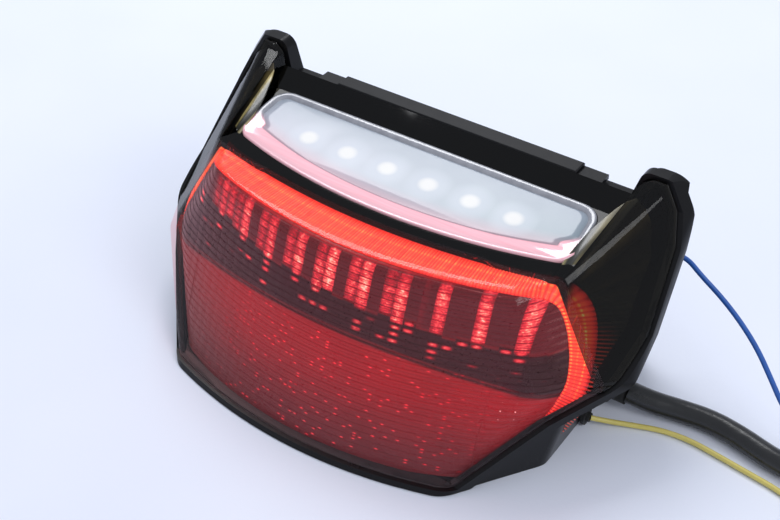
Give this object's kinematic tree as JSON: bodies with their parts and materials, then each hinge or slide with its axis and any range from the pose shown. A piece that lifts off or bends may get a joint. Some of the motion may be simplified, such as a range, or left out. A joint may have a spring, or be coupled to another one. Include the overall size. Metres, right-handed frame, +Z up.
{
  "type": "motorcycle tail light",
  "caption": "LED tail light with a red prism lens, smoked turn signal sides and a licence plate window, on a black moulded housing.",
  "frame": {"origin": "middle of the light's footprint on the surface it stands on, its top wall down", "axes": "+X across the width, towards the side that the wires leave from; +Y from the lens to the mounting wall; +Z up as it stands, which is down on the motorcycle"},
  "size_m": [0.3358, 0.1454, 0.0982],
  "materials": {
    "housing_black": "fine moulded black ABS, glossy on the rim",
    "sealant": "black butyl bead",
    "red_lens": "transparent red acrylic with moulded prisms",
    "smoke_lens": "smoked acrylic with moulded flutes",
    "window_clear": "clear polycarbonate",
    "reflector": "vacuum metallised",
    "board": "green solder mask",
    "led_red": "moulded LED package",
    "led_amber": "moulded LED package",
    "led_white": "moulded LED package",
    "screw_steel": "zinc plated",
    "chip": "moulded package",
    "tray_white": "white moulding",
    "diffuser": "frosted opal sheet",
    "insert_brass": "knurled threaded insert",
    "rubber_black": "moulded",
    "sleeve_vinyl": "semi-gloss vinyl sleeving",
    "wire_yellow": "PVC insulation",
    "wire_blue": "PVC insulation",
    "connector": "moulded nylon",
    "terminal_brass": "stamped",
    "bullet_sleeve": "soft clear sleeve over a crimped barrel"
  },
  "bodies": {
    "root": {"amber_leds_left": "led_amber", "amber_leds_right": "led_amber", "blue_bullet": "bullet_sleeve", "blue_grommet": "rubber_black", "blue_wire": "wire_blue", "board_screws": "screw_steel", "connector_terminals": "terminal_brass", "driver_chips": "chip", "harness_connector": "connector", "harness_grommet": "rubber_black", "harness_sleeve": "sleeve_vinyl", "housing": "housing_black", "lens_sealant": "sealant", "main_led_board": "board", "main_reflector": "reflector", "mounting_inserts": "insert_brass", "plate_diffuser": "diffuser", "plate_led_board": "board", "plate_leds": "led_white", "plate_tray": "tray_white", "plate_window": "window_clear", "red_leds": "led_red", "red_lens": "red_lens", "resistors": "chip", "smoke_lens": "smoke_lens", "tongue_bar": "housing_black", "turn_board_left": "board", "turn_board_right": "board", "turn_reflector_left": "reflector", "turn_reflector_right": "reflector", "yellow_bullet": "bullet_sleeve", "yellow_grommet": "rubber_black", "yellow_wire": "wire_yellow"}
  },
  "joints": []
}
